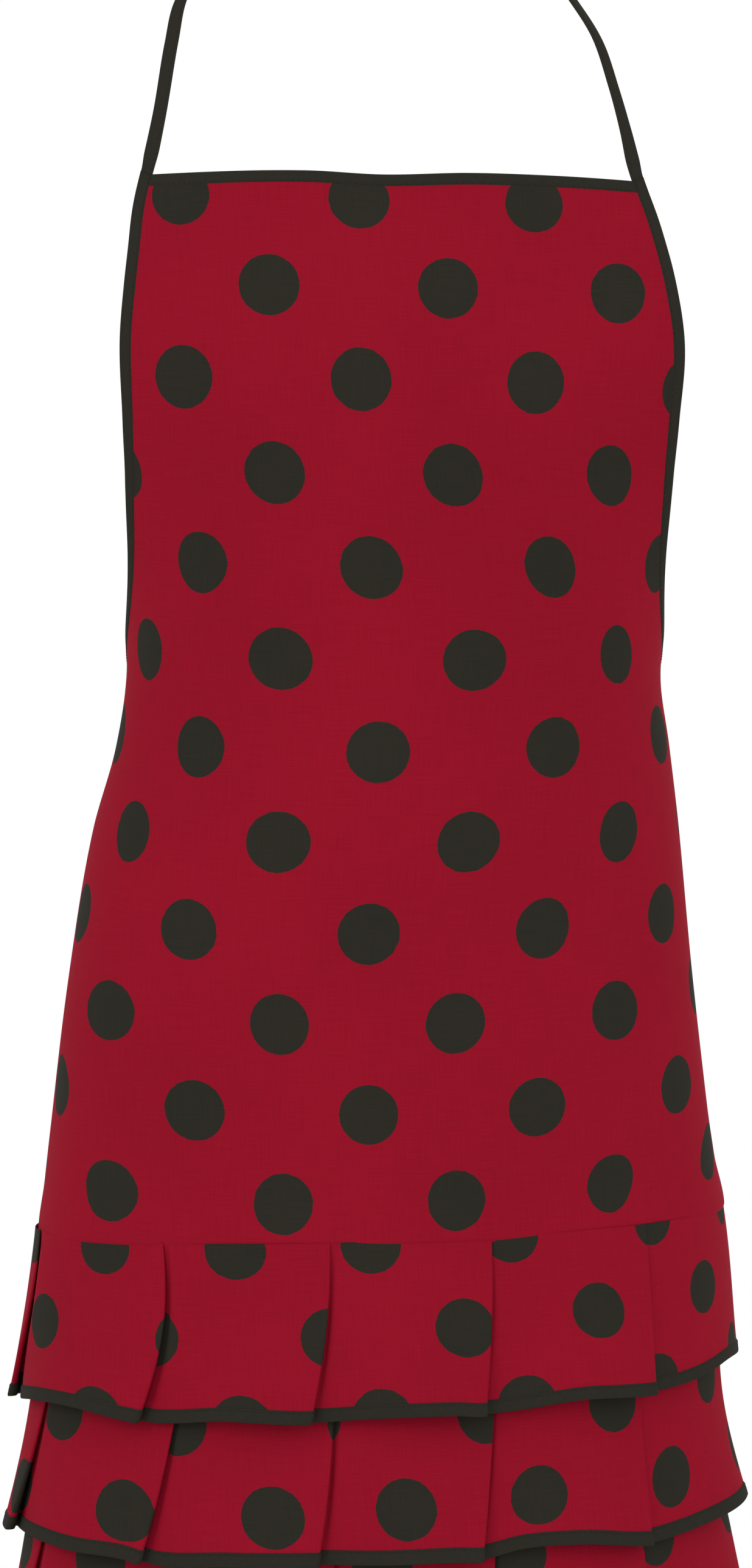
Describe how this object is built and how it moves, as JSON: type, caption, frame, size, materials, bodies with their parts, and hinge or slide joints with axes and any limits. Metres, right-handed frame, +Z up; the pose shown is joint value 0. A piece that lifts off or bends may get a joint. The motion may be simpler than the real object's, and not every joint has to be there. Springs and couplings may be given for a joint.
{
  "type": "flamenco apron",
  "caption": "Bib apron of dotted cotton as worn, bound with black tape, with neck strap, tied waist ties and tiers of knife-pleated ruffles.",
  "frame": {"origin": "inside the neck strap at the nape of the neck, where the wearer's neck holds it", "axes": "+Z up, the front of the apron faces -Y, +X is the viewer's right when seen from the front"},
  "size_m": [0.4107, 0.2667, 0.9779],
  "materials": {
    "dotted_cotton": "crimson cotton poplin with round black dots, matt with a faint sheen",
    "black_tape": "black cotton bias tape, matt"
  },
  "bodies": {
    "root": {"apron_body": "dotted_cotton", "bib_top_binding": "black_tape", "armhole_binding_left": "black_tape", "armhole_binding_right": "black_tape", "neck_strap": "black_tape", "waist_tie_left": "black_tape", "waist_tie_right": "black_tape", "bow_knot": "black_tape", "bow_loop_left": "black_tape", "bow_loop_right": "black_tape", "bow_end_left": "black_tape", "bow_end_right": "black_tape", "ruffle_1": "dotted_cotton", "ruffle_2": "dotted_cotton", "ruffle_3": "dotted_cotton", "ruffle_1_binding": "black_tape", "ruffle_2_binding": "black_tape", "ruffle_3_binding": "black_tape"}
  },
  "joints": []
}
